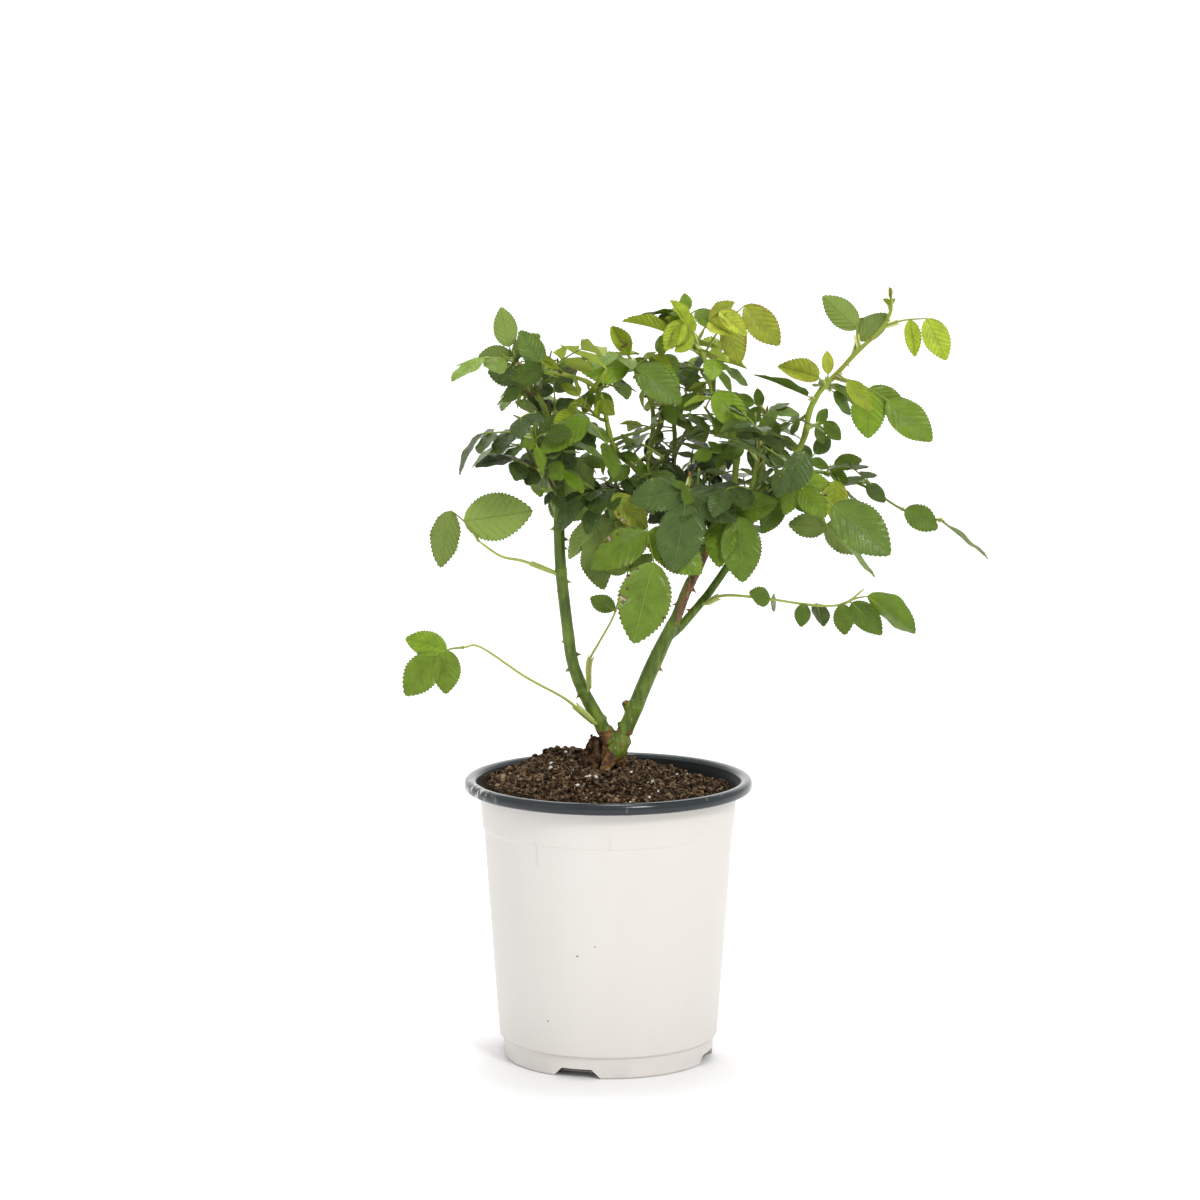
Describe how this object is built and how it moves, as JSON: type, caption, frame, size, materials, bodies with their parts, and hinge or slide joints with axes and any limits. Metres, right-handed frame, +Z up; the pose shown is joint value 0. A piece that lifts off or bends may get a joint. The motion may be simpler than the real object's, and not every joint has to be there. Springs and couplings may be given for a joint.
{
  "type": "young rose bush in a round nursery pot",
  "caption": "Young rose bush with two main canes and sprays of serrated compound leaves, growing in a tapered round nursery pot with a rolled rim.",
  "frame": {"origin": "centre of the pot's flat underside", "axes": "+Z up, -Y to the front"},
  "size_m": [0.2406, 0.1302, 0.3222],
  "materials": {
    "pot_plastic": "smooth warm off-white plastic with a dark slate rolled rim",
    "potting_mix": "rough dark brown peat and bark with white perlite",
    "crown_bark": "rough orange-brown bark with a green knob",
    "stump_wood": "dry dark brown wood",
    "cane_green": "smooth green rind with prickles",
    "cane_brown": "red-brown rind with prickles",
    "leaf_light": "satin yellow-green young leaves",
    "leaf_mid": "satin mid-green leaves",
    "leaf_dark": "glossy dark green leaves"
  },
  "bodies": {
    "root": {"pot": "pot_plastic", "potting_mix": "potting_mix", "crown": "crown_bark", "old_stub": "stump_wood", "left_cane": "cane_green", "right_cane": "cane_green", "outer_bough": "cane_green", "right_bough": "cane_brown", "centre_bough": "cane_green", "low_left_leaf": "leaf_light", "mid_left_leaf": "leaf_mid", "inner_low_leaf": "leaf_mid", "right_low_leaf": "leaf_mid", "centre_front_leaves": "leaf_dark", "left_centre_leaves": "leaf_mid", "right_tall_shoot": "leaf_light", "arching_shoot": "leaf_light", "upper_left_shoot": "leaf_mid", "centre_top_shoot": "leaf_light", "top_centre_shoot": "leaf_light", "trailing_shoot": "leaf_dark", "lower_right_leaves": "leaf_dark", "mid_right_leaves": "leaf_dark", "upper_mid_leaves": "leaf_mid", "front_left_leaves": "leaf_mid", "front_right_leaves": "leaf_dark", "rear_left_shoot": "leaf_mid", "rear_centre_shoot": "leaf_mid", "rear_right_shoot": "leaf_mid", "rear_low_shoot": "leaf_dark"}
  },
  "joints": []
}
